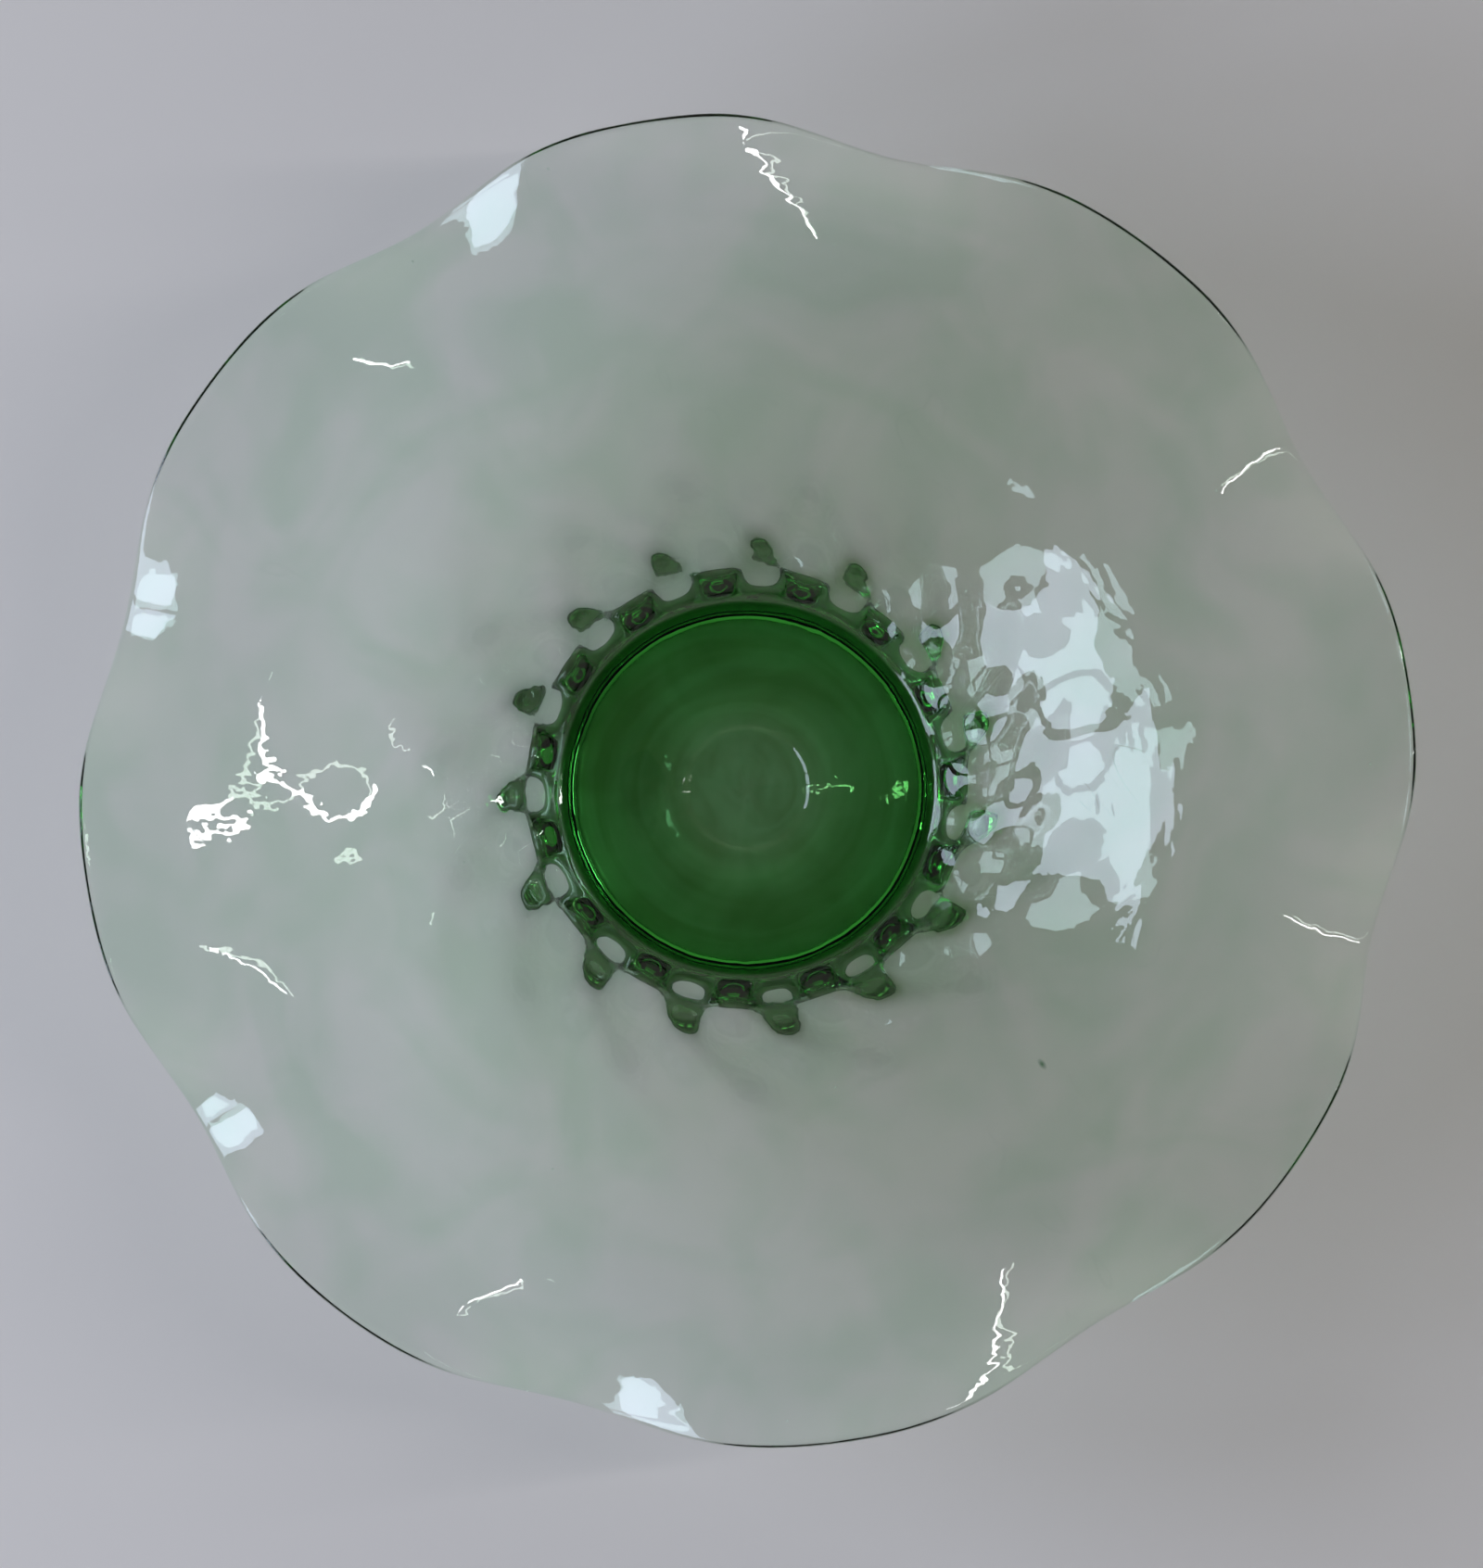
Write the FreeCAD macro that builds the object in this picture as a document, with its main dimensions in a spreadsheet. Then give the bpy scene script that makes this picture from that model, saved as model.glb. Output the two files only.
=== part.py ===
"""Blown art glass bowl: a pale green bowl with a waved lip, fused to an applied deep green foot.

Millimetres, +Z up. The origin is the middle of the ring that the foot rests on.
"""
import FreeCAD, Part
import math
import os

import Sketcher
from FreeCAD import Vector

# Driving dimensions: alias, value and what it is.
SIZES = [
    ("foot_radius", 43.4, "outer radius of the foot"),
    ("foot_edge", 4.2, "radius of the foot's rounded edge"),
    ("rest_inner_radius", 35.5, "inner radius of the ring that the foot rests on"),
    ("foot_hollow", 6.8, "height of the hollow under the middle of the foot"),
    ("foot_cove", 4.2, "radius of the cove where the hollow meets the resting ring"),
    ("seat_radius", 38.4, "radius of the joint between foot and bowl"),
    ("seat_height", 9.2, "height of the joint between foot and bowl"),
    ("floor_radius", 34.0, "flat middle of the bowl's floor inside"),
    ("floor_thickness", 4.6, "glass under the bowl's floor"),
    ("wall_at_heel", 3.4, "wall thickness just above the floor"),
    ("wall_at_rim", 2.6, "wall thickness at the lip"),
    ("heel_angle", 62.0, "slope of the wall where it leaves the foot, in degrees"),
    ("heel_reach", 14.0, "how far the wall keeps to that slope"),
    ("rim_radius", 125.0, "mean radius of the lip"),
    ("rim_height", 53.5, "mean height of the lip's underside"),
    ("lip_angle", 10.0, "how far the lip turns down past level, in degrees"),
    ("lip_reach", 36.0, "how far in from the lip the wall flattens"),
    ("lobe_count", 8, "lobes round the lip"),
    ("lobe_turn", 8.5, "direction of the first lobe's middle from +X, in degrees"),
    ("lobe_reach", 2.1, "how far the lobes swing the lip in and out"),
    ("lobe_rise", 6.6, "how far the lobes swing the lip up and down"),
    ("lobe_breadth", 0.21, "second harmonic of the swing in and out: broad lobes, narrow hollows"),
    ("droop_breadth", 0.35, "second harmonic of the swing up and down"),
    ("wave_start_radius", 89.0, "radius where the wall begins to wave"),
    ("wave_growth", 1.6, "power by which the wave grows from there to the lip"),
]

# How closely the bowl's control rings follow each other, and the points round each ring.
WALL_STEPS = 9
POINTS_PER_LOBE = 6
CUBIC = 3


def make_sheet(doc):
    """Keep the driving dimensions in the document's spreadsheet."""
    sheet = doc.addObject("Spreadsheet::Sheet", "Sizes")
    for row, (alias, value, note) in enumerate(SIZES, start=1):
        sheet.set(f"A{row}", alias)
        sheet.set(f"B{row}", str(value))
        sheet.set(f"C{row}", note)
        sheet.setAlias(f"B{row}", alias)
    doc.recompute()
    return sheet


def make_foot(doc):
    """The foot: a turned pad with a rounded edge, a hollow underside and a flat seat on top."""
    body = doc.addObject("PartDesign::Body", "foot")
    sketch = body.newObject("Sketcher::SketchObject", "foot_section")
    planes = {plane.Role: plane for plane in body.Origin.OriginFeatures}
    sketch.AttachmentSupport = [(planes["XZ_Plane"], "")]
    sketch.MapMode = "FlatFace"
    section = FootSection(sketch)
    section.draw()
    section.constrain()
    doc.recompute()
    turn = body.newObject("PartDesign::Revolution", "foot_turn")
    turn.Profile = sketch
    turn.ReferenceAxis = (sketch, ["V_Axis"])
    turn.Angle = 360.0
    body.Label = "foot"
    return body


class FootSection:
    """The half section of the foot, drawn anticlockwise from the middle of its hollow."""

    HOLLOW, COVE, REST, EDGE, SHOULDER, SEAT, AXIS = range(7)
    START, END, CENTRE = 1, 2, 3
    ORIGIN, X_AXIS, Y_AXIS = (-1, 1), -1, -2

    def __init__(self, sketch):
        self.sketch = sketch

    def draw(self):
        """Lay the section's lines and arcs down near their places; the constraints settle them."""
        up = Vector(0, 0, 1)
        line = lambda a, b: Part.LineSegment(Vector(*a, 0), Vector(*b, 0))
        arc = lambda centre, radius, start, end: Part.ArcOfCircle(
            Part.Circle(Vector(*centre, 0), up, radius), math.radians(start), math.radians(end)
        )
        for shape in (
            arc((0, -188), 195, 81, 90),
            arc((31, 0), 4, 0, 81),
            line((35, 0), (39, 0)),
            arc((39, 4), 4, -90, 90),
            arc((39, 9), 1, 180, 270),
            line((38, 9), (0, 9)),
            line((0, 9), (0, 7)),
        ):
            self.sketch.addGeometry(shape, False)

    def constrain(self):
        """Join the section up, make it smooth and bind its sizes to the sheet."""
        # The arcs run anticlockwise, so the hollow, cove and shoulder start at their outer ends.
        for first, first_end, second, second_end in (
            (self.COVE, self.START, self.REST, self.START),
            (self.SEAT, self.START, self.SHOULDER, self.START),
            (self.SEAT, self.END, self.AXIS, self.START),
            (self.AXIS, self.END, self.HOLLOW, self.END),
        ):
            self.add("Coincident", first, first_end, second, second_end)
        self.add("Tangent", self.HOLLOW, self.START, self.COVE, self.END)
        self.add("Tangent", self.REST, self.END, self.EDGE, self.START)
        self.add("Tangent", self.EDGE, self.END, self.SHOULDER, self.END)
        self.add("PointOnObject", self.REST, self.START, self.X_AXIS)
        self.add("PointOnObject", self.COVE, self.CENTRE, self.X_AXIS)
        self.add("PointOnObject", self.HOLLOW, self.CENTRE, self.Y_AXIS)
        self.add("Vertical", self.EDGE, self.START, self.EDGE, self.END)
        self.add("Horizontal", self.REST)
        self.add("Horizontal", self.SEAT)
        self.add("Vertical", self.AXIS)
        self.add("PointOnObject", self.AXIS, self.START, self.Y_AXIS)
        self.bind("Radius", (self.COVE,), "foot_cove")
        self.bind("Radius", (self.EDGE,), "foot_edge")
        self.bind("DistanceX", (*self.ORIGIN, self.REST, self.START), "rest_inner_radius")
        self.bind("DistanceX", (*self.ORIGIN, self.REST, self.END), "foot_radius", "foot_edge")
        self.bind("DistanceX", (*self.ORIGIN, self.SEAT, self.START), "seat_radius")
        self.bind("DistanceY", (*self.ORIGIN, self.SEAT, self.START), "seat_height")
        self.bind("DistanceY", (*self.ORIGIN, self.AXIS, self.END), "foot_hollow")

    def add(self, kind, *places):
        """Add one geometric constraint."""
        return self.sketch.addConstraint(Sketcher.Constraint(kind, *places))

    def bind(self, kind, places, alias, less=None):
        """Add one dimension and bind it to the sheet, less a second size where one is given."""
        value = size_named(alias) - (size_named(less) if less else 0)
        index = self.add(kind, *places, value)
        rule = f"Sizes.{alias}" + (f" - Sizes.{less}" if less else "")
        self.sketch.setExpression(f"Constraints[{index}]", rule)


def size_named(alias):
    """The first value of one driving dimension."""
    return next(value for name, value, _ in SIZES if name == alias)


class BowlShape:
    """Where the bowl's glass lies, worked out from the sheet."""

    def __init__(self, sheet):
        self.size = {alias: getattr(sheet, alias) for alias, _, _ in SIZES}
        lip = math.radians(self.size["lip_angle"])
        heel = math.radians(self.size["heel_angle"])
        self.lip_round = self.size["wall_at_rim"] / 2
        start = Vector(self.size["seat_radius"], 0, self.size["seat_height"])
        end = Vector(self.size["rim_radius"] - self.lip_round, 0, self.size["rim_height"])
        start_pull = Vector(math.cos(heel), 0, math.sin(heel)) * self.size["heel_reach"]
        end_pull = Vector(math.cos(lip), 0, -math.sin(lip)) * self.size["lip_reach"]
        self.wall = Part.BezierCurve()
        self.wall.setPoles([start, start + start_pull, end - end_pull, end])

    def across(self, along):
        """The wall's thickness as a step from its outer face to its inner one, heel (0) to lip (1)."""
        tangent = self.wall.tangent(along)[0]
        heel, rim = self.size["wall_at_heel"], self.size["wall_at_rim"]
        return Vector(-tangent.z, 0, tangent.x) * (heel + (rim - heel) * along)

    def outer_section(self):
        """The outer face, from the joint with the foot up to the lip."""
        return [self.wall.value(step / WALL_STEPS) for step in range(WALL_STEPS + 1)]

    def lip_section(self):
        """The fire-polished round of the lip, from the outer face over to the inner one."""
        out = self.wall.tangent(1.0)[0] * self.lip_round
        end = self.wall.value(1.0)
        return [end + out, end + self.across(1.0) + out]

    def inner_section(self):
        """The inner face, from the lip down to the flat of the floor."""
        steps = [step / WALL_STEPS for step in range(WALL_STEPS, 0, -1)]
        wall = [self.wall.value(along) + self.across(along) for along in steps]
        floor_height = self.size["seat_height"] + self.size["floor_thickness"]
        slope = self.wall.tangent(steps[-1])[0]
        corner = wall[-1] - slope * ((wall[-1].z - floor_height) / slope.z)
        floor_edge = Vector(self.size["floor_radius"], 0, floor_height)
        return wall + [corner, (corner + floor_edge) / 2, floor_edge]

    def crest(self, direction, breadth):
        """How high the lip's wave stands in this direction: broad lobes, narrow hollows."""
        phase = self.size["lobe_count"] * (direction - math.radians(self.size["lobe_turn"]))
        return math.cos(phase) - breadth * math.cos(2 * phase)

    def waved(self, point, direction):
        """The section's point turned to this direction and moved by the wave."""
        start = self.size["wave_start_radius"]
        share = max(0.0, (point.x - start) / (self.size["rim_radius"] - start))
        swing = share ** self.size["wave_growth"]
        out = self.crest(direction, self.size["lobe_breadth"])
        up = self.crest(direction, self.size["droop_breadth"])
        radius = point.x + self.size["lobe_reach"] * swing * out
        height = point.z + self.size["lobe_rise"] * swing * up
        return Vector(radius * math.cos(direction), radius * math.sin(direction), height)

    def ring(self, point):
        """The closed smooth ring that this point of the section makes round the bowl."""
        count = int(self.size["lobe_count"]) * POINTS_PER_LOBE
        turns = [2 * math.pi * step / count for step in range(count)]
        curve = Part.BSplineCurve()
        curve.interpolate(
            [self.waved(point, turn) for turn in turns],
            PeriodicFlag=True,
            Parameters=[step / count for step in range(count + 1)],
        )
        return curve

    def skin(self):
        """One smooth surface over the whole section: up the outside, round the lip, down the inside."""
        section = self.outer_section() + self.lip_section() + self.inner_section()
        rings = [self.ring(point) for point in section]
        spans = len(rings) - CUBIC
        surface = Part.BSplineSurface()
        surface.buildFromPolesMultsKnots(
            list(zip(*(ring.getPoles() for ring in rings))),
            rings[0].getMultiplicities(),
            [CUBIC + 1] + [1] * (spans - 1) + [CUBIC + 1],
            rings[0].getKnots(),
            list(range(spans + 1)),
            True,
            False,
            CUBIC,
            CUBIC,
        )
        return surface.toShape()

    def solid(self):
        """The bowl: its skin, closed by the joint's face below and the flat of the floor inside."""
        skin = self.skin()
        ends = [edge for edge in skin.Edges if edge.isClosed() and not edge.isSeam(skin)]
        caps = [Part.Face(Part.Wire(edge)) for edge in ends]
        shell = Part.Shell([skin] + caps)
        shell.sewShape()
        solid = Part.Solid(shell)
        solid.fix(1e-6, 1e-6, 1e-4)
        return solid if solid.Volume > 0 else solid.reversed()


def make_bowl(doc, sheet):
    """The bowl: one blown wall with its floor, waved at the lip."""
    bowl = doc.addObject("Part::Feature", "bowl")
    bowl.Shape = BowlShape(sheet).solid()
    bowl.Placement = FreeCAD.Placement()
    bowl.Label = "bowl"
    return bowl


def check(doc, pieces):
    """Stop if anything failed to compute or a piece isn't one sound solid."""
    failed = [o.Name for o in doc.Objects if {"Invalid", "Error"} & set(o.State)]
    if failed:
        raise RuntimeError(f"these objects failed: {failed}")
    for piece in pieces:
        shape = piece.Shape
        if shape.isNull() or not shape.isValid() or len(shape.Solids) != 1:
            raise RuntimeError(f"{piece.Label} isn't one sound solid")
        box = shape.BoundBox
        print(
            f"{piece.Label}: {shape.Volume / 1000:.1f} cm3, "
            f"x {box.XMin:.2f} to {box.XMax:.2f}, "
            f"y {box.YMin:.2f} to {box.YMax:.2f}, "
            f"z {box.ZMin:.2f} to {box.ZMax:.2f}"
        )


def main():
    doc = FreeCAD.newDocument("art_glass_bowl")
    sheet = make_sheet(doc)
    pieces = [make_foot(doc), make_bowl(doc, sheet)]
    doc.recompute()
    check(doc, pieces)
    os.makedirs("parts", exist_ok=True)
    for piece in pieces:
        piece.Shape.exportStep(f"parts/{piece.Label}.step")


main()
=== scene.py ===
"""Blown art glass bowl with a waved lip, on an applied foot of deeper green glass."""
import logging
import math
from dataclasses import dataclass, field
from enum import Enum
from typing import Sequence

import bpy
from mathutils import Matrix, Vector


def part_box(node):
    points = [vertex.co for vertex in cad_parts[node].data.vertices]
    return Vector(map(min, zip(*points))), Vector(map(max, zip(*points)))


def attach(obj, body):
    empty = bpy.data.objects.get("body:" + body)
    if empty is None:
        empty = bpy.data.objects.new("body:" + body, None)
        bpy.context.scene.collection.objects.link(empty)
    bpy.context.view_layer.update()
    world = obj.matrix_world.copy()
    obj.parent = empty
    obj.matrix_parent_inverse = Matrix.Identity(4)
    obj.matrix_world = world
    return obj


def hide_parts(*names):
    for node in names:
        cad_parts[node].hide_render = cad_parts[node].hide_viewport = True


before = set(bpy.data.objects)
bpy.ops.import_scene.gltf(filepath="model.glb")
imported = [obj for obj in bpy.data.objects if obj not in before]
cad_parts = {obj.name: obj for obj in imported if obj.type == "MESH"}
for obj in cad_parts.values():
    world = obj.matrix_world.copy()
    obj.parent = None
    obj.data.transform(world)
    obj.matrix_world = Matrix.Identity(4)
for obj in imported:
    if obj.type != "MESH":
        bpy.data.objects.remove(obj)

log = logging.getLogger("glasshouse")

MM = 0.001
# The control points of a rounded edge stand out this many times its radius, so that the curve fills it.
FULLNESS = 1.02
# The step into the bowl's round dish: millimetres out from its radius, and share of its depth.
DISH_STEP = ((2.4, 0.0), (1.1, 0.0), (0.4, 0.1), (-0.4, 0.9), (-1.1, 1.0), (-2.4, 1.0))


# ---------------------------------------------------------------- formulas in node trees


class Rule:
    """A number worked out by math nodes, so that a node tree reads as a formula."""

    def __init__(self, tree: bpy.types.NodeTree, socket: bpy.types.NodeSocket) -> None:
        """Wrap one output socket.

        Args:
            tree: The geometry or shader tree that the number lives in.
            socket: The output that carries it.
        """
        self.tree = tree
        self.socket = socket

    def _math(self, operation: str, *others: "Rule | float", flip: bool = False) -> "Rule":
        """Add one math node.

        Args:
            operation: Blender's name for the operation.
            others: The other terms, rules or plain numbers.
            flip: Put this term after the others.

        Returns:
            The node's result.
        """
        node = self.tree.nodes.new("ShaderNodeMath")
        node.operation = operation
        terms = (*others, self) if flip else (self, *others)
        for place, term in zip(node.inputs, terms):
            if isinstance(term, Rule):
                self.tree.links.new(term.socket, place)
            else:
                place.default_value = term
        return Rule(self.tree, node.outputs[0])

    def __add__(self, other: "Rule | float") -> "Rule":
        """This plus other."""
        return self._math("ADD", other)

    def __sub__(self, other: "Rule | float") -> "Rule":
        """This less other."""
        return self._math("SUBTRACT", other)

    def __rsub__(self, other: float) -> "Rule":
        """Other less this."""
        return self._math("SUBTRACT", other, flip=True)

    def __mul__(self, other: "Rule | float") -> "Rule":
        """This times other."""
        return self._math("MULTIPLY", other)

    def __truediv__(self, other: "Rule | float") -> "Rule":
        """This over other."""
        return self._math("DIVIDE", other)

    def __pow__(self, power: float) -> "Rule":
        """This to a power."""
        return self._math("POWER", power)

    def cos(self) -> "Rule":
        """The cosine, of an angle in radians."""
        return self._math("COSINE")

    def sin(self) -> "Rule":
        """The sine, of an angle in radians."""
        return self._math("SINE")

    def size(self) -> "Rule":
        """This without its sign."""
        return self._math("ABSOLUTE")

    def __gt__(self, other: "Rule | float") -> "Rule":
        """1 where this is more than other, else 0."""
        return self._math("GREATER_THAN", other)

    def at_least(self, low: "Rule | float") -> "Rule":
        """This, or low where it is less."""
        return self._math("MAXIMUM", low)

    def at_most(self, high: "Rule | float") -> "Rule":
        """This, or high where it is more."""
        return self._math("MINIMUM", high)

    def rise(self, start: "Rule | float", end: "Rule | float") -> "Rule":
        """An even ramp, held at 0 before start and at 1 past end."""
        return ((self - start) / (end - start)).at_least(0.0).at_most(1.0)

    @staticmethod
    def power_of(base: float, power: "Rule") -> "Rule":
        """A plain base to a worked-out power."""
        return power._math("POWER", base, flip=True)


class Tree:
    """A node tree being written, geometry or shader, with named inputs."""

    def __init__(self, name: str, kind: str) -> None:
        """Start an empty tree with its two end nodes.

        Args:
            name: The tree's name.
            kind: GeometryNodeTree or ShaderNodeTree.
        """
        self.tree = bpy.data.node_groups.new(name, kind)
        self.start = self.tree.nodes.new("NodeGroupInput")
        self.end = self.tree.nodes.new("NodeGroupOutput")

    def takes(self, name: str, kind: str, default: float | None = None) -> str:
        """Add a named input.

        Args:
            name: What the input is called.
            kind: Its socket type.
            default: Its first value, for a number.

        Returns:
            The input's name.
        """
        socket = self.tree.interface.new_socket(name, in_out="INPUT", socket_type=kind)
        if default is not None:
            socket.default_value = default
        return name

    def gives(self, name: str, kind: str) -> str:
        """Add a named output and return its name."""
        self.tree.interface.new_socket(name, in_out="OUTPUT", socket_type=kind)
        return name

    def given(self, name: str) -> bpy.types.NodeSocket:
        """The socket that carries a named input."""
        return self.start.outputs[name]

    def number(self, name: str) -> Rule:
        """A named input as a number."""
        return Rule(self.tree, self.given(name))

    def node(self, kind: str, links: dict | None = None, **settings: object) -> bpy.types.Node:
        """Add one node.

        Args:
            kind: The node's type.
            links: Input name or place to a socket, a Rule or a plain value.
            settings: Properties of the node itself.

        Returns:
            The new node.
        """
        return add_node(self.tree, kind, links, **settings)


def add_node(
    tree: bpy.types.NodeTree, kind: str, links: dict | None = None, **settings: object
) -> bpy.types.Node:
    """Add one node to any tree.

    Args:
        tree: The tree.
        kind: The node's type.
        links: Input name or place to a socket, a Rule or a plain value.
        settings: Properties of the node itself.

    Returns:
        The new node.
    """
    made = tree.nodes.new(kind)
    for name, value in settings.items():
        setattr(made, name, value)
    for place, value in (links or {}).items():
        source = value.socket if isinstance(value, Rule) else value
        if isinstance(source, bpy.types.NodeSocket):
            tree.links.new(source, made.inputs[place])
        else:
            made.inputs[place].default_value = source
    return made


# ---------------------------------------------------------------- sizes


@dataclass(frozen=True)
class BowlSizes:
    """The bowl's driving sizes, in metres, with the seat height read from the frame."""

    seat_radius: float = 38.4 * MM
    seat_height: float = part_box("foot")[1][2]
    floor_radius: float = 34.0 * MM
    floor_thickness: float = 4.6 * MM
    wall_at_heel: float = 3.4 * MM
    wall_at_rim: float = 2.6 * MM
    heel_angle: float = 62.0
    heel_reach: float = 14.0 * MM
    rim_radius: float = 125.0 * MM
    rim_height: float = 53.5 * MM
    lip_angle: float = 10.0
    lip_reach: float = 36.0 * MM
    wave_start_radius: float = 89.0 * MM
    dish_radius: float = 12.0 * MM
    dish_depth: float = 0.7 * MM
    wall_steps: int = 9


@dataclass(frozen=True)
class FootSizes:
    """The foot's driving sizes, in metres, with the overall ones read from the frame."""

    radius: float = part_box("foot")[1][0]
    edge: float = 4.2 * MM
    rest_inner_radius: float = 35.5 * MM
    hollow: float = 5.8 * MM
    cove: float = 4.2 * MM
    kick_radius: float = 16.7 * MM
    kick: float = 1.2 * MM
    seat_radius: float = 38.4 * MM
    seat_height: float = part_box("foot")[1][2]


# ---------------------------------------------------------------- the turning tree


class Turning(Enum):
    """Named inputs of the tree that turns a section into blown glass."""

    AROUND = "Steps Around"
    LOBES = "Lobes"
    LOBE_TURN = "Lobe Turn"
    LOBE_REACH = "Lobe Reach"
    LOBE_RISE = "Lobe Rise"
    LOBE_BREADTH = "Lobe Breadth"
    DROOP_BREADTH = "Droop Breadth"
    LOBE_UNEVEN = "Lobe Unevenness"
    WAVE_START = "Wave Start Radius"
    RIM_RADIUS = "Rim Radius"
    LENSES = "Lenses Around"
    LENS_TURN = "Lens Turn"
    LENS_DEPTH = "Lens Depth"
    LENS_FADE = "Lens Fade"
    LENS_START = "First Lens Radius"
    LENS_PITCH = "Lens Row Pitch"
    LENS_GROWTH = "Lens Row Growth"
    UNEVEN = "Hand Unevenness"
    SEED = "Seed"
    MATERIAL = "Glass"


def turning_tree() -> bpy.types.NodeTree:
    """Build the geometry tree that turns a section curve into a closed piece of blown glass.

    Returns:
        The node tree, with the inputs that Turning names.
    """
    t = Tree("blown_glass_turning", "GeometryNodeTree")
    t.takes("Section", "NodeSocketGeometry")
    t.takes(Turning.AROUND.value, "NodeSocketInt", 360)
    for name in Turning:
        if name not in (Turning.AROUND, Turning.SEED, Turning.MATERIAL):
            t.takes(name.value, "NodeSocketFloat", 0.0)
    t.takes(Turning.SEED.value, "NodeSocketInt", 7)
    t.takes(Turning.MATERIAL.value, "NodeSocketMaterial")
    t.gives("Glass Piece", "NodeSocketGeometry")

    points = t.node("GeometryNodeCurveToPoints", {"Curve": t.given("Section")}, mode="EVALUATED")
    size = t.node("GeometryNodeAttributeDomainSize", {"Geometry": points.outputs["Points"]},
                  component="POINTCLOUD")
    along = Rule(t.tree, size.outputs["Point Count"])
    around = t.number(Turning.AROUND.value)
    grid = t.node("GeometryNodeMeshGrid", {
        "Size X": around, "Size Y": along - 1.0, "Vertices X": around + 1.0, "Vertices Y": along,
    })
    place = t.node("ShaderNodeSeparateXYZ", {0: t.node("GeometryNodeInputPosition").outputs[0]})
    angle = (Rule(t.tree, place.outputs["X"]) / around + 0.5) * math.tau
    step = Rule(t.tree, place.outputs["Y"]) + (along - 1.0) / 2.0
    index = t.node("FunctionNodeFloatToInt", {0: step}, rounding_mode="ROUND").outputs[0]

    def sampled(value: bpy.types.NodeSocket) -> bpy.types.Node:
        """A vector of the section at this vertex's step along it, split into its parts."""
        sample = t.node(
            "GeometryNodeSampleIndex",
            {"Geometry": points.outputs["Points"], "Value": value, "Index": index},
            data_type="FLOAT_VECTOR",
            domain="POINT",
        )
        return t.node("ShaderNodeSeparateXYZ", {0: sample.outputs[0]})

    spot = sampled(t.node("GeometryNodeInputPosition").outputs[0])
    radius, height = Rule(t.tree, spot.outputs["X"]), Rule(t.tree, spot.outputs["Z"])
    heading = sampled(points.outputs["Tangent"])
    out_r, out_z = Rule(t.tree, heading.outputs["Z"]), Rule(t.tree, heading.outputs["X"]) * -1.0

    # Lenses: staggered rows of soft hollows pressed into both faces, each row a little out of step.
    # They come in just before the first row, weaken before the third and are gone after the seventh.
    pitch, growth = t.number(Turning.LENS_PITCH.value), t.number(Turning.LENS_GROWTH.value)
    beyond = (radius - t.number(Turning.LENS_START.value)) * growth * 4.0 + pitch * pitch
    row = (beyond.at_least(0.0) ** 0.5 - pitch) / (growth * 2.0)
    drift = (row * 1.3 + 0.4).sin() * 0.05
    lattice = (row * math.pi).cos() * (
        (angle - t.number(Turning.LENS_TURN.value) + drift) * t.number(Turning.LENSES.value)
    ).cos()
    fade = Rule.power_of(math.e, row.at_least(0.0) * t.number(Turning.LENS_FADE.value) * -1.0)
    near = row.rise(0.2, 0.9) * (row.rise(5.2, 2.8) * 0.88 + 0.12) * row.rise(7.2, 6.2)
    hollow = (((lattice + 1.0) / 2.0) ** 1.2 - 0.35) * fade * near * t.number(Turning.LENS_DEPTH.value)

    # Hand unevenness: slow drifts of the surface that differ from face to face.
    seed = t.number(Turning.SEED.value)
    flat = t.node("ShaderNodeCombineXYZ", {
        "X": radius * angle.cos(), "Y": radius * angle.sin(), "Z": height * 2.0,
    })

    def drifting(scale: float, shift: float) -> Rule:
        """Smooth noise from -1 to 1 over the piece."""
        noise = t.node(
            "ShaderNodeTexNoise",
            {"Vector": flat.outputs[0], "Scale": scale, "Detail": 1.0, "W": seed + shift},
            noise_dimensions="4D",
        )
        return Rule(t.tree, noise.outputs[0]) * 2.0 - 1.0

    uneven = (drifting(28.0, 0.3) + drifting(70.0, 5.1) * 0.28) * t.number(Turning.UNEVEN.value)
    press = uneven * radius.rise(0.0, 0.02) - hollow
    radius_now, height_now = radius + out_r * press, height + out_z * press

    # Lobes: the lip's wave, broad above and narrow below, growing from where it starts and
    # wandering a little, as a lip bent by hand does.
    start, rim = t.number(Turning.WAVE_START.value), t.number(Turning.RIM_RADIUS.value)
    swing = ((radius_now - start) / (rim - start)).at_least(0.0) ** 1.6
    turn = angle - t.number(Turning.LOBE_TURN.value)
    wander = (turn * 3.0 + 1.1).sin() * 0.6 + (turn * 2.0 + 0.3).sin() * 0.4
    phase = turn * t.number(Turning.LOBES.value) + wander * t.number(Turning.LOBE_UNEVEN.value)
    wave, double = phase.cos(), (phase * 2.0).cos()
    out = (wave - t.number(Turning.LOBE_BREADTH.value) * double) * swing
    up = (wave - t.number(Turning.DROOP_BREADTH.value) * double) * swing
    radius_now = radius_now + out * t.number(Turning.LOBE_REACH.value)
    height_now = height_now + up * t.number(Turning.LOBE_RISE.value)

    shaped = t.node("GeometryNodeSetPosition", {
        "Geometry": grid.outputs["Mesh"],
        "Position": t.node("ShaderNodeCombineXYZ", {
            "X": radius_now * angle.cos(), "Y": radius_now * angle.sin(), "Z": height_now,
        }).outputs[0],
    })
    closed = t.node("GeometryNodeMergeByDistance", {"Geometry": shaped.outputs[0], "Distance": 2e-6})
    smooth = t.node("GeometryNodeSetShadeSmooth", {"Geometry": closed.outputs[0]})
    real = t.node("GeometryNodeRealizeInstances", {"Geometry": smooth.outputs[0]})
    dressed = t.node("GeometryNodeSetMaterial", {
        "Geometry": real.outputs[0], "Material": t.given(Turning.MATERIAL.value),
    })
    t.tree.links.new(dressed.outputs[0], t.end.inputs[0])
    return t.tree


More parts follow.
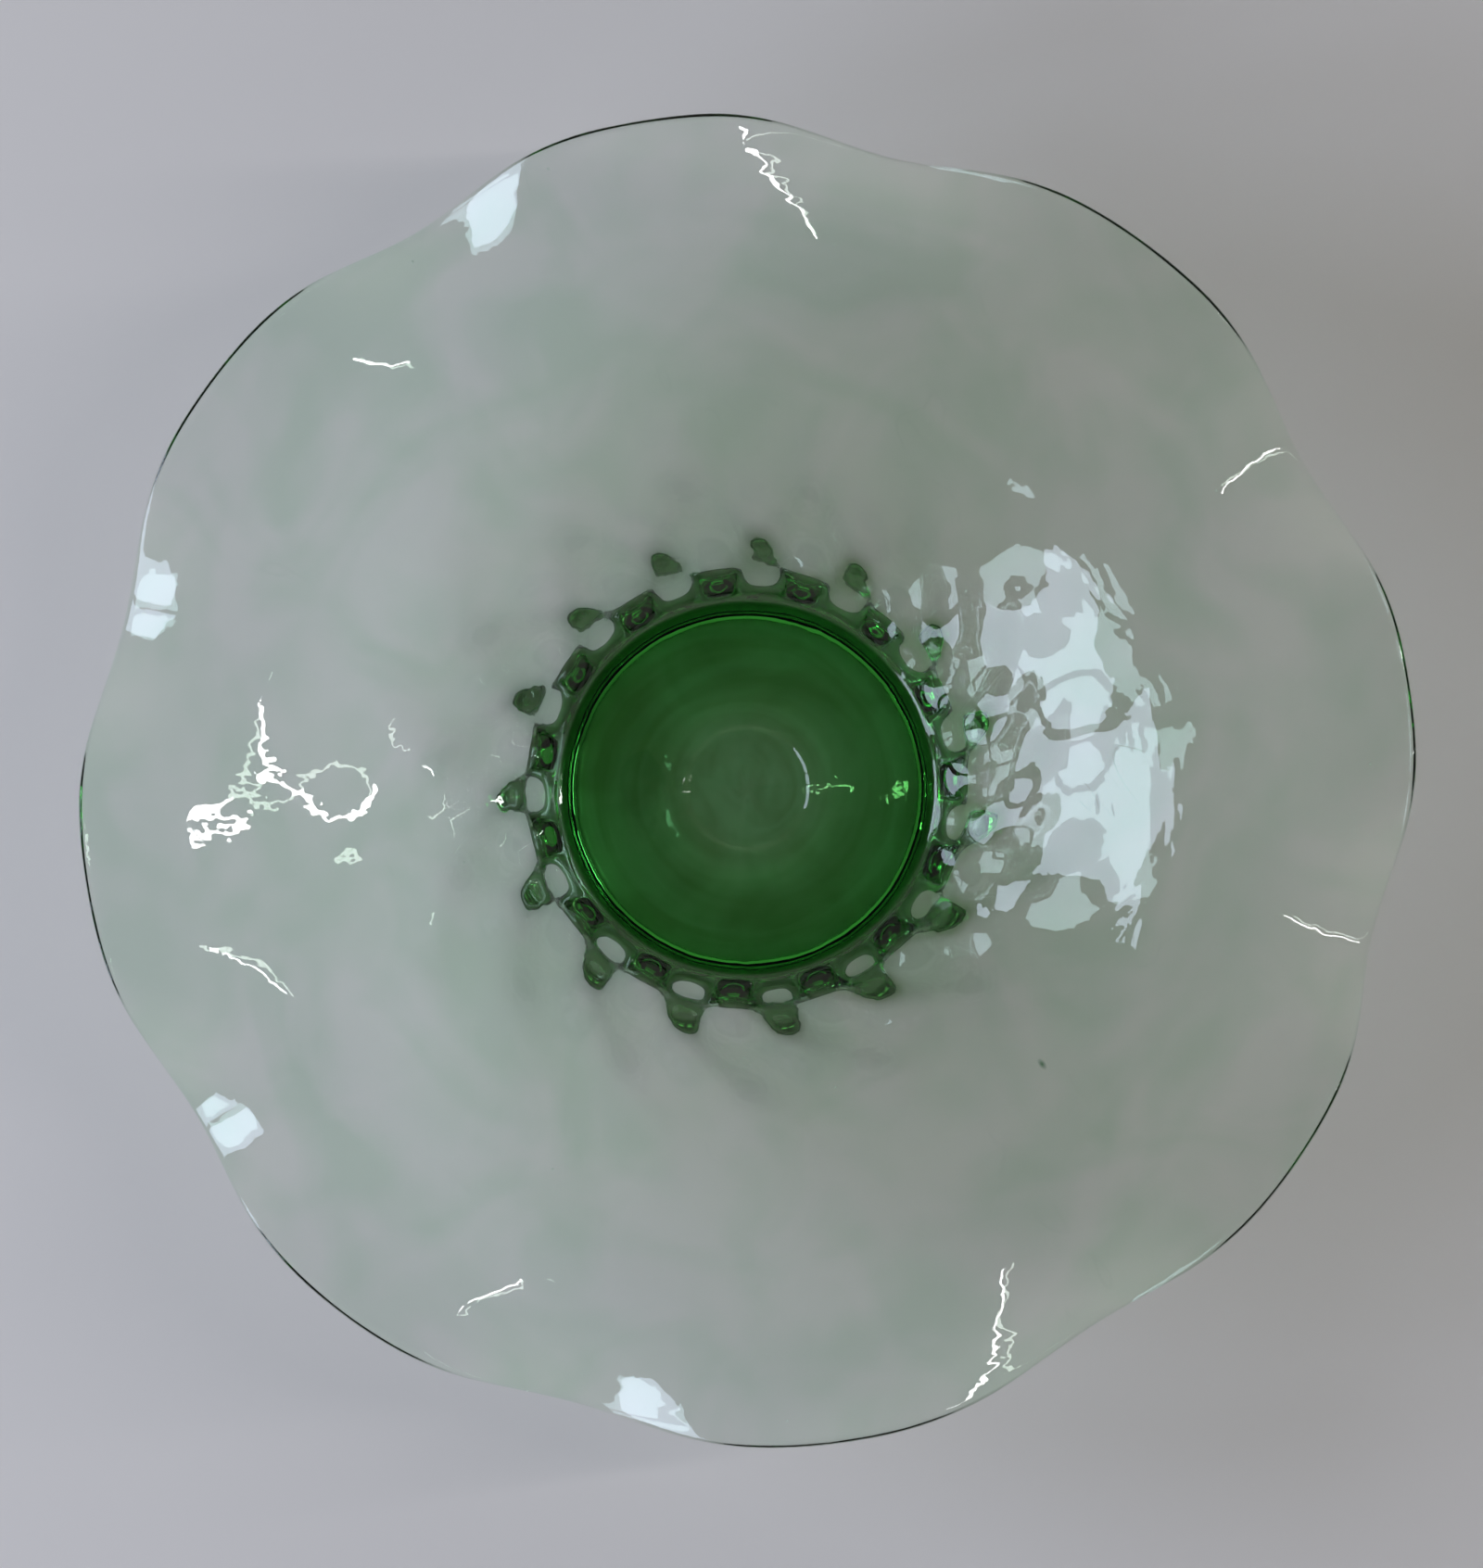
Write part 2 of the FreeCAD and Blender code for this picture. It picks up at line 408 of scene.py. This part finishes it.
def spoke(length: float, angle: float) -> Vector:
    """A step in the XZ plane, at an angle in degrees from +X towards +Z."""
    turn = math.radians(angle)
    return Vector((length * math.cos(turn), 0.0, length * math.sin(turn)))


def section_curve(name: str, points: Sequence[Vector], steps: int) -> bpy.types.Object:
    """A smooth open section in the XZ plane.

    Args:
        name: The curve's name.
        points: Its control points, from the axis round the glass and back to the axis.
        steps: Mesh steps for each control point.

    Returns:
        The curve object.
    """
    curve = bpy.data.curves.new(name, "CURVE")
    curve.dimensions = "3D"
    spline = curve.splines.new("NURBS")
    spline.points.add(len(points) - 1)
    for place, point in zip(spline.points, points):
        place.co = (*point, 1.0)
    spline.order_u = 4
    spline.use_endpoint_u = True
    spline.resolution_u = steps
    made = bpy.data.objects.new(name, curve)
    bpy.context.scene.collection.objects.link(made)
    return made


def turned(
    name: str, section: bpy.types.Object, settings: dict[Turning, object], tree: bpy.types.NodeTree
) -> bpy.types.Object:
    """Turn a section into a finished mesh piece.

    Args:
        name: The piece's name.
        section: The section curve, which is used up.
        settings: Values for the tree's named inputs.
        tree: The turning tree.

    Returns:
        The piece, a plain mesh at the origin.
    """
    modifier = section.modifiers.new("turning", "NODES")
    modifier.node_group = tree
    sockets = {
        item.name: item.identifier
        for item in tree.interface.items_tree
        if item.item_type == "SOCKET" and item.in_out == "INPUT"
    }
    for key, value in settings.items():
        modifier[sockets[key.value]] = value
    section.update_tag()
    bpy.context.view_layer.update()
    graph = bpy.context.evaluated_depsgraph_get()
    mesh = mesh_made_by(section, graph)
    bpy.data.objects.remove(section)
    mesh.name = name
    piece = bpy.data.objects.new(name, mesh)
    bpy.context.scene.collection.objects.link(piece)
    return piece


def mesh_made_by(source: bpy.types.Object, graph: bpy.types.Depsgraph) -> bpy.types.Mesh:
    """The mesh that a curve object's geometry nodes make.

    Args:
        source: The curve object with its modifier.
        graph: The evaluated dependency graph.

    Returns:
        A new plain mesh.
    """
    mesh = bpy.data.meshes.new_from_object(source.evaluated_get(graph))
    if not mesh.polygons:
        raise RuntimeError(f"{source.name} made no mesh")
    return mesh


# ---------------------------------------------------------------- finishes


def fused_joint() -> bpy.types.NodeTree:
    """Build the group that tells where two pots of glass have run together.

    Returns:
        The shader group, giving Skin: 1 on a free face, 0 on the joint, which has no face at all.
    """
    t = Tree("fused_joint", "ShaderNodeTree")
    height = t.takes("Joint Height", "NodeSocketFloat", 0.0)
    reach = t.takes("Joint Radius", "NodeSocketFloat", 0.0)
    skin = t.gives("Skin", "NodeSocketFloat")
    place = t.node("ShaderNodeSeparateXYZ", {0: t.node("ShaderNodeTexCoord").outputs["Object"]})
    x, y, z = (Rule(t.tree, place.outputs[axis]) for axis in "XYZ")
    outside = (x * x + y * y) ** 0.5 > t.number(reach)
    apart = (z - t.number(height)).size() > 0.12 * MM
    t.tree.links.new(outside.at_least(apart).socket, t.end.inputs[skin])
    return t.tree


def around_and_out(t: Tree) -> tuple[Rule, Rule, Rule, bpy.types.NodeSocket]:
    """Where a shaded point lies on a turned piece.

    Args:
        t: The shader group being written.

    Returns:
        The cosine and sine of its direction, its radius, and its place in the piece.
    """
    spot = t.node("ShaderNodeTexCoord").outputs["Object"]
    place = t.node("ShaderNodeSeparateXYZ", {0: spot})
    x, y = Rule(t.tree, place.outputs["X"]), Rule(t.tree, place.outputs["Y"])
    radius = ((x * x + y * y) ** 0.5).at_least(0.5 * MM)
    return x / radius, y / radius, radius, spot


def noise(t: Tree, vector: bpy.types.NodeSocket, scale: float, detail: float, bend: float) -> Rule:
    """Smooth noise, about 0.5, over a vector.

    Args:
        t: The shader group being written.
        vector: Where to read it.
        scale: Waves to the unit.
        detail: Octaves of finer noise.
        bend: How far it is distorted.

    Returns:
        The noise.
    """
    made = t.node("ShaderNodeTexNoise", {
        "Vector": vector, "Scale": scale, "Detail": detail, "Distortion": bend,
    })
    return Rule(t.tree, made.outputs[0])


def cords() -> bpy.types.NodeTree:
    """Build the group for cords: cloudy streaks where one gather of glass is richer than another.

    Returns:
        The shader group, giving a Tint to put in front of the glass.
    """
    t = Tree("cords", "ShaderNodeTree")
    lean = t.takes("Lean Tint", "NodeSocketColor")
    rich = t.takes("Rich Tint", "NodeSocketColor")
    about = t.number(t.takes("Waves Around", "NodeSocketFloat", 1.0))
    outward = t.number(t.takes("Waves Outward", "NodeSocketFloat", 40.0))
    tint = t.gives("Tint", "NodeSocketColor")
    cos, sin, radius, spot = around_and_out(t)
    swirl = t.node("ShaderNodeCombineXYZ", {
        "X": cos * about, "Y": sin * about, "Z": radius * outward,
    })
    cloud = noise(t, swirl.outputs[0], 1.0, 2.0, 1.2)
    blot = noise(t, spot, 42.0, 3.0, 1.0)
    share = (cloud * 0.5 + blot * 0.5).rise(0.40, 0.60)
    mix = t.node("ShaderNodeMix", {0: share, 6: t.given(lean), 7: t.given(rich)}, data_type="RGBA")
    t.tree.links.new(mix.outputs[2], t.end.inputs[tint])
    return t.tree


def ripples() -> bpy.types.NodeTree:
    """Build the group for the fine ripples that tools and the mould leave across blown glass.

    Returns:
        The shader group, giving a Height in metres.
    """
    t = Tree("ripples", "ShaderNodeTree")
    deep = t.takes("Depth", "NodeSocketFloat", 0.0)
    pitch = t.takes("Waves Outward", "NodeSocketFloat", 100.0)
    height = t.gives("Height", "NodeSocketFloat")
    cos, sin, radius, spot = around_and_out(t)
    drawn = t.node("ShaderNodeCombineXYZ", {
        "X": cos * 3.2, "Y": sin * 3.2, "Z": radius * t.number(pitch),
    })
    wave = noise(t, drawn.outputs[0], 1.0, 2.0, 0.6) + noise(t, spot, 330.0, 1.0, 0.0) * 0.12
    t.tree.links.new((wave * t.number(deep)).socket, t.end.inputs[height])
    return t.tree


def handling() -> bpy.types.NodeTree:
    """Build the group for what years of handling leave: flecks, seeds and hair scratches.

    Returns:
        The shader group, giving a Mark tint and a Roughness.
    """
    t = Tree("handling", "ShaderNodeTree")
    fleck_tint = t.takes("Fleck Tint", "NodeSocketColor")
    amount = t.takes("Amount", "NodeSocketFloat", 1.0)
    mark = t.gives("Mark", "NodeSocketColor")
    rough = t.gives("Roughness", "NodeSocketFloat")
    cos, sin, radius, spot = around_and_out(t)
    lain = t.node("ShaderNodeVectorRotate", {"Vector": spot, "Angle": 0.9}, rotation_type="Z_AXIS")
    drawn = t.node("ShaderNodeVectorMath", {0: lain.outputs[0], 1: (0.22, 1.0, 1.0)},
                   operation="MULTIPLY")

    def dots(vector: bpy.types.NodeSocket, scale: float, size: float, few: float) -> Rule:
        """Scattered dots: 1 inside each, with only a few of the cells used."""
        cell = t.node("ShaderNodeTexVoronoi", {"Vector": vector, "Scale": scale})
        chosen = Rule(t.tree, t.node("ShaderNodeSeparateColor", {0: cell.outputs["Color"]}).outputs[0])
        return (1.0 - Rule(t.tree, cell.outputs["Distance"]).rise(size * 0.6, size)) * (chosen > few)

    flecks = dots(drawn.outputs[0], 60.0, 0.055, 0.93)
    seeds = dots(spot, 110.0, 0.045, 0.80)
    thread = (noise(t, drawn.outputs[0], 70.0, 0.0, 1.5) - 0.5).size()
    hairs = (1.0 - thread.rise(0.0, 0.006)) * (noise(t, spot, 45.0, 1.0, 0.0) > 0.60)
    worn = t.number(amount)
    shade = t.node("ShaderNodeMix", {0: flecks * worn, 6: (1.0, 1.0, 1.0, 1.0),
                                     7: t.given(fleck_tint)}, data_type="RGBA")
    dulled = t.node("ShaderNodeMix", {0: (seeds * 0.30 + hairs * 0.10) * worn, 6: shade.outputs[2],
                                      7: (0.35, 0.45, 0.37, 1.0)}, data_type="RGBA")
    t.tree.links.new(dulled.outputs[2], t.end.inputs[mark])
    t.tree.links.new(((hairs * 0.22 + seeds * 0.3) * worn).socket, t.end.inputs[rough])
    return t.tree


@dataclass(frozen=True)
class Effects:
    """The shader groups that every pot of glass shares."""

    joint: bpy.types.NodeTree
    cords: bpy.types.NodeTree
    ripples: bpy.types.NodeTree
    handling: bpy.types.NodeTree


@dataclass(frozen=True)
class Glass:
    """One pot of glass: what it takes from the light, per metre, and how its skin is marked."""

    name: str
    takes: tuple[float, float, float]
    lean: tuple[float, float, float]
    rich: tuple[float, float, float]
    fleck: tuple[float, float, float]
    cords_around: float
    cords_out: float
    ripple_depth: float
    ripples_out: float
    worn: float
    ior: float = 1.51

    def material(self, effects: Effects) -> bpy.types.Material:
        """Build the glass.

        Args:
            effects: The shared shader groups.

        Returns:
            The material.
        """
        made = bpy.data.materials.new(self.name)
        made.use_nodes = True
        tree = made.node_tree
        tree.nodes.clear()

        def group(kind: bpy.types.NodeTree, **values: object) -> bpy.types.Node:
            """Add one shared group with its named inputs set."""
            node = add_node(tree, "ShaderNodeGroup", node_tree=kind)
            for name, value in values.items():
                node.inputs[name.replace("_", " ")].default_value = value
            return node

        joint = group(effects.joint, Joint_Height=BowlSizes().seat_height,
                      Joint_Radius=BowlSizes().seat_radius - 0.3 * MM)
        cord = group(effects.cords, Lean_Tint=(*self.lean, 1.0), Rich_Tint=(*self.rich, 1.0),
                     Waves_Around=self.cords_around, Waves_Outward=self.cords_out)
        ripple = group(effects.ripples, Depth=self.ripple_depth, Waves_Outward=self.ripples_out)
        mark = group(effects.handling, Fleck_Tint=(*self.fleck, 1.0), Amount=self.worn)
        tint = add_node(tree, "ShaderNodeMix", {
            0: 1.0, 6: cord.outputs["Tint"], 7: mark.outputs["Mark"],
        }, data_type="RGBA", blend_type="MULTIPLY")
        relief = add_node(tree, "ShaderNodeBump", {"Height": ripple.outputs["Height"], "Distance": 1.0})
        skin = add_node(tree, "ShaderNodeBsdfPrincipled", {
            "Base Color": tint.outputs[2],
            "Roughness": mark.outputs["Roughness"],
            "IOR": self.ior,
            "Transmission Weight": 1.0,
            "Alpha": joint.outputs["Skin"],
            "Normal": relief.outputs["Normal"],
        })
        most = max(self.takes) * 1.05
        depth = add_node(tree, "ShaderNodeVolumeAbsorption", {
            "Color": (*(1.0 - share / most for share in self.takes), 1.0),
            "Density": most,
        })
        out = add_node(tree, "ShaderNodeOutputMaterial")
        tree.links.new(skin.outputs["BSDF"], out.inputs["Surface"])
        tree.links.new(depth.outputs["Volume"], out.inputs["Volume"])
        return made


PALE_GREEN = Glass(
    "pale_green_glass", takes=(17.0, 0.8, 18.0), lean=(1.0, 1.0, 1.0), rich=(0.85, 0.945, 0.875),
    fleck=(0.03, 0.16, 0.05), cords_around=1.9, cords_out=38.0,
    ripple_depth=0.24 * MM, ripples_out=95.0, worn=1.0,
)
DEEP_GREEN = Glass(
    "deep_green_glass", takes=(184.0, 55.0, 180.0), lean=(1.0, 1.0, 1.0), rich=(0.66, 0.58, 0.46),
    fleck=(0.02, 0.06, 0.02), cords_around=0.35, cords_out=150.0,
    ripple_depth=0.05 * MM, ripples_out=240.0, worn=0.5,
)


# ---------------------------------------------------------------- sub-assemblies


@dataclass
class Bowl:
    """The blown bowl: one pale wall with soft lenses and a waved, fire-polished lip."""

    sizes: BowlSizes = field(default_factory=BowlSizes)
    lobes: int = 8
    lobe_turn: float = math.radians(8.5)
    lobe_reach: float = 1.8 * MM
    lobe_rise: float = 6.6 * MM
    lobe_breadth: float = 0.21
    droop_breadth: float = 0.35
    lenses: int = 15
    lens_turn: float = math.radians(89.0)
    lens_depth: float = 3.4 * MM
    curve_steps: int = 6

    def wall(self, along: float) -> tuple[Vector, Vector]:
        """The wall's outer face at a share of its way from heel to lip.

        Args:
            along: 0 at the heel, 1 at the lip.

        Returns:
            The point, and the step across the glass to its inner face.
        """
        s = self.sizes
        start = Vector((s.seat_radius, 0.0, s.seat_height))
        end = Vector((s.rim_radius - s.wall_at_rim / 2, 0.0, s.rim_height))
        a, b = start, start + spoke(s.heel_reach, s.heel_angle)
        c, d = end - spoke(s.lip_reach, -s.lip_angle), end
        back = 1.0 - along
        point = a * back**3 + b * 3 * back**2 * along + c * 3 * back * along**2 + d * along**3
        tangent = (b - a) * back**2 + (c - b) * 2 * back * along + (d - c) * along**2
        tangent.normalize()
        thickness = s.wall_at_heel + (s.wall_at_rim - s.wall_at_heel) * along
        return point, Vector((-tangent.z, 0.0, tangent.x)) * thickness

    def section(self) -> list[Vector]:
        """Control points of the section: the joint, up the outside, round the lip, down the inside."""
        s = self.sizes
        steps = [step / s.wall_steps for step in range(s.wall_steps + 1)]
        joint_radii = (0.0, s.seat_radius / 2, s.seat_radius - 0.6 * MM, s.seat_radius)
        joint = [Vector((radius, 0.0, s.seat_height)) for radius in joint_radii]
        outer = [self.wall(step)[0] for step in steps]
        inner = [sum(self.wall(step), Vector()) for step in reversed(steps[1:])]
        out = spoke(s.wall_at_rim / 2, -s.lip_angle)
        lip = [outer[-1] + out, inner[0] + out]
        floor_height = s.seat_height + s.floor_thickness
        slope = (inner[-2] - inner[-1]).normalized()
        corner = inner[-1] - slope * ((inner[-1].z - floor_height) / slope.z)
        floor_edge = Vector((s.floor_radius, 0.0, floor_height))
        floor = [
            corner,
            corner - Vector((1.0 * MM, 0.0, 0.0)),
            floor_edge,
            Vector(((s.floor_radius + s.dish_radius) / 2, 0.0, floor_height)),
        ]
        for out, down in DISH_STEP:
            floor.append(Vector((s.dish_radius + out * MM, 0.0, floor_height - down * s.dish_depth)))
        floor.append(Vector((0.0, 0.0, floor_height - s.dish_depth)))
        return joint + outer[1:] + lip + inner + floor

    def build(self, tree: bpy.types.NodeTree, effects: Effects) -> bpy.types.Object:
        """Blow the bowl and put it on the frame.

        Args:
            tree: The turning tree.
            effects: The shared shader groups.

        Returns:
            The bowl.
        """
        section = section_curve("bowl_section", self.section(), self.curve_steps)
        piece = turned("blown_bowl", section, {
            Turning.AROUND: 360,
            Turning.LOBES: float(self.lobes),
            Turning.LOBE_TURN: self.lobe_turn,
            Turning.LOBE_REACH: self.lobe_reach,
            Turning.LOBE_RISE: self.lobe_rise,
            Turning.LOBE_BREADTH: self.lobe_breadth,
            Turning.DROOP_BREADTH: self.droop_breadth,
            Turning.LOBE_UNEVEN: 0.25,
            Turning.WAVE_START: self.sizes.wave_start_radius,
            Turning.RIM_RADIUS: self.sizes.rim_radius,
            Turning.LENSES: float(self.lenses),
            Turning.LENS_TURN: self.lens_turn,
            Turning.LENS_DEPTH: self.lens_depth,
            Turning.LENS_FADE: 0.45,
            Turning.LENS_START: 36.3 * MM,
            Turning.LENS_PITCH: 6.0 * MM,
            Turning.LENS_GROWTH: 1.2 * MM,
            Turning.UNEVEN: 0.32 * MM,
            Turning.SEED: 7,
            Turning.MATERIAL: PALE_GREEN.material(effects),
        }, tree)
        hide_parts("bowl")
        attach(piece, "root")
        return piece


@dataclass
class Foot:
    """The applied foot: a pad of deep green glass with a rounded edge and a hollow underneath."""

    sizes: FootSizes = field(default_factory=FootSizes)
    gap: float = 0.06 * MM
    curve_steps: int = 6

    def section(self) -> list[Vector]:
        """Control points of the section: hollow, resting ring, edge, shoulder and seat."""
        s = self.sizes
        top = s.seat_height - self.gap
        brow = s.rest_inner_radius - s.cove

        def roof(radius: float) -> float:
            """The height of the hollow's arched roof."""
            return s.hollow - (s.hollow - s.cove) * (radius / brow) ** 2

        points = [Vector((0.0, 0.0, s.hollow + s.kick))]
        for out, up in ((-9.0, 1.0), (-3.5, 1.0), (-1.2, 0.75), (1.2, 0.25), (3.5, 0.0)):
            radius = s.kick_radius + out * MM
            points.append(Vector((radius, 0.0, roof(radius) + up * s.kick)))
        points += [Vector((brow * share, 0.0, roof(brow * share))) for share in (0.8, 1.0)]
        points += [Vector((brow, 0.0, 0.0)) + spoke(s.cove, angle) for angle in (65, 40, 15)]
        points.append(Vector((s.rest_inner_radius, 0.0, 0.0)))
        middle = s.radius - s.edge
        points += [Vector((s.rest_inner_radius + step, 0.0, 0.0)) for step in (0.6 * MM, 2.0 * MM)]
        points += [Vector((middle - 1.5 * MM, 0.0, 0.0)), Vector((middle, 0.0, 0.0))]
        edge = Vector((middle, 0.0, s.edge))
        points += [edge + spoke(s.edge * FULLNESS, angle) for angle in (-60, -30, 0, 30, 60)]
        points.append(Vector((middle + 0.2 * MM, 0.0, 2 * s.edge)))
        points += [Vector((s.seat_radius + 0.35 * MM, 0.0, top - 0.55 * MM))]
        points += [Vector((s.seat_radius, 0.0, top)), Vector((s.seat_radius - 0.5 * MM, 0.0, top))]
        points += [Vector((s.seat_radius / 2, 0.0, top)), Vector((0.0, 0.0, top))]
        return points

    def build(self, tree: bpy.types.NodeTree, effects: Effects) -> bpy.types.Object:
        """Shape the foot and put it on the frame.

        Args:
            tree: The turning tree.
            effects: The shared shader groups.

        Returns:
            The foot.
        """
        # The foot is turned plain: its wave and lenses would start far outside it.
        section = section_curve("foot_section", self.section(), self.curve_steps)
        piece = turned("applied_foot", section, {
            Turning.AROUND: 256,
            Turning.WAVE_START: 1.0,
            Turning.RIM_RADIUS: 2.0,
            Turning.LENS_START: 1.0,
            Turning.LENS_PITCH: 1.0,
            Turning.LENS_GROWTH: 1.0,
            Turning.UNEVEN: 0.0,
            Turning.SEED: 3,
            Turning.MATERIAL: DEEP_GREEN.material(effects),
        }, tree)
        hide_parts("foot")
        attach(piece, "root")
        return piece


# ---------------------------------------------------------------- studio


@dataclass
class Studio:
    """A pale floor, a window on the left, a lamp tube on the right and the camera above."""

    camera_distance: float = 1.15
    camera_lean: float = math.radians(2.5)
    lip_level: float = 56.0 * MM
    view_height: float = 297.45 * MM
    sensor_height: float = 24.0
    floor_half: float = 3.0

    def floor(self) -> bpy.types.Object:
        """A wide pale cloth-coloured floor."""
        mesh = bpy.data.meshes.new("floor")
        half, level = self.floor_half, -0.2 * MM
        corners = [(-half, -half), (half, -half), (half, half), (-half, half)]
        mesh.from_pydata([(x, y, level) for x, y in corners], [], [(0, 1, 2, 3)])
        made = bpy.data.objects.new("floor", mesh)
        bpy.context.scene.collection.objects.link(made)
        material = bpy.data.materials.new("floor_cloth")
        material.use_nodes = True
        skin = material.node_tree.nodes["Principled BSDF"]
        skin.inputs["Base Color"].default_value = (0.80, 0.725, 0.735, 1.0)
        skin.inputs["Roughness"].default_value = 0.9
        skin.inputs["Specular IOR Level"].default_value = 0.2
        mesh.materials.append(material)
        return made

    def window(self) -> None:
        """A window on the left, as two panes of soft bluish daylight with a bar between them."""
        middle, bowl = Vector((-1.15, -0.18, 0.66)), Vector((0.0, 0.0, 0.03))
        panes, bar = 2, 0.13
        wide, tall = 1.3 / panes, 0.78
        for number in range(panes):
            pane = self.lamp(f"pane_{number}", wide - bar, tall - bar, 7.2)
            pane.data.color = (0.70, 0.82, 1.0)
            pane.location = middle + Vector((0.0, wide * (number - (panes - 1) / 2), 0.0))
            pane.rotation_euler = (bowl - middle).to_track_quat("-Z", "Y").to_euler()

    def strip(self) -> None:
        """A thin lamp tube over to the right."""
        tube = self.lamp("tube", 0.03, 1.2, 3.0)
        tube.location = (1.05, 0.1, 1.25)
        tube.rotation_euler = (-tube.location).to_track_quat("-Z", "Y").to_euler()

    def lamp(self, name: str, wide: float, tall: float, watts: float) -> bpy.types.Object:
        """Add one rectangular soft lamp.

        Args:
            name: The lamp's name.
            wide: Its width, in metres.
            tall: Its height, in metres.
            watts: Its power.

        Returns:
            The lamp, still at the origin.
        """
        data = bpy.data.lights.new(name, "AREA")
        data.shape = "RECTANGLE"
        data.size, data.size_y = wide, tall
        data.energy = watts
        made = bpy.data.objects.new(name, data)
        bpy.context.scene.collection.objects.link(made)
        return made

    def sky(self) -> None:
        """The room's own pale light: dim overhead, brighter low down, most at the front and back."""
        world = bpy.data.worlds.new("room")
        world.use_nodes = True
        tree = world.node_tree
        room = tree.nodes["Background"]
        way = add_node(tree, "ShaderNodeSeparateXYZ", {
            0: add_node(tree, "ShaderNodeTexCoord").outputs["Generated"],
        })
        side, level = Rule(tree, way.outputs["X"]), Rule(tree, way.outputs["Z"])
        front = Rule(tree, way.outputs["Y"]) * -1.0
        dim = side * side * 0.5 + side.rise(0.0, -1.0) * 0.25 - front.at_least(0.0) * 0.3
        glow = (1.0 - level.rise(0.45, 0.97)) * (1.0 - dim)
        shade = add_node(tree, "ShaderNodeMix", {
            0: glow, 6: (0.05, 0.06, 0.07, 1.0), 7: (0.95, 1.0, 0.84, 1.0),
        }, data_type="RGBA")
        tree.links.new(shade.outputs[2], room.inputs["Color"])
        room.inputs["Strength"].default_value = 0.49
        bpy.context.scene.world = world

    def camera(self) -> None:
        """The camera, almost straight above, taking in view_height at the level of the lip."""
        data = bpy.data.cameras.new("camera")
        data.sensor_fit = "VERTICAL"
        data.sensor_height = self.sensor_height
        eye = bpy.data.objects.new("camera", data)
        lean, distance = self.camera_lean, self.camera_distance
        eye.location = (0.0, -math.sin(lean) * distance, self.lip_level + math.cos(lean) * distance)
        eye.rotation_euler = (lean, 0.0, 0.0)
        data.lens = self.sensor_height * distance / self.view_height
        data.shift_x, data.shift_y = -0.0036, -0.0035
        bpy.context.scene.collection.objects.link(eye)
        bpy.context.scene.camera = eye


def main() -> None:
    """Build the pieces and the studio, and report each."""
    logging.basicConfig(level=logging.INFO, format="%(name)s: %(message)s")
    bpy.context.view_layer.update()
    studio = Studio()
    studio.camera()
    tree = turning_tree()
    effects = Effects(fused_joint(), cords(), ripples(), handling())
    for maker in (Bowl(), Foot()):
        piece = maker.build(tree, effects)
        log.info("%s: %d faces", piece.name, len(piece.data.polygons))
    studio.floor()
    studio.window()
    studio.strip()
    studio.sky()
    scene = bpy.context.scene
    scene.cycles.max_bounces = 24
    scene.cycles.transmission_bounces = 24
    scene.view_settings.view_transform = "Standard"


if __name__ == "__main__":
    main()
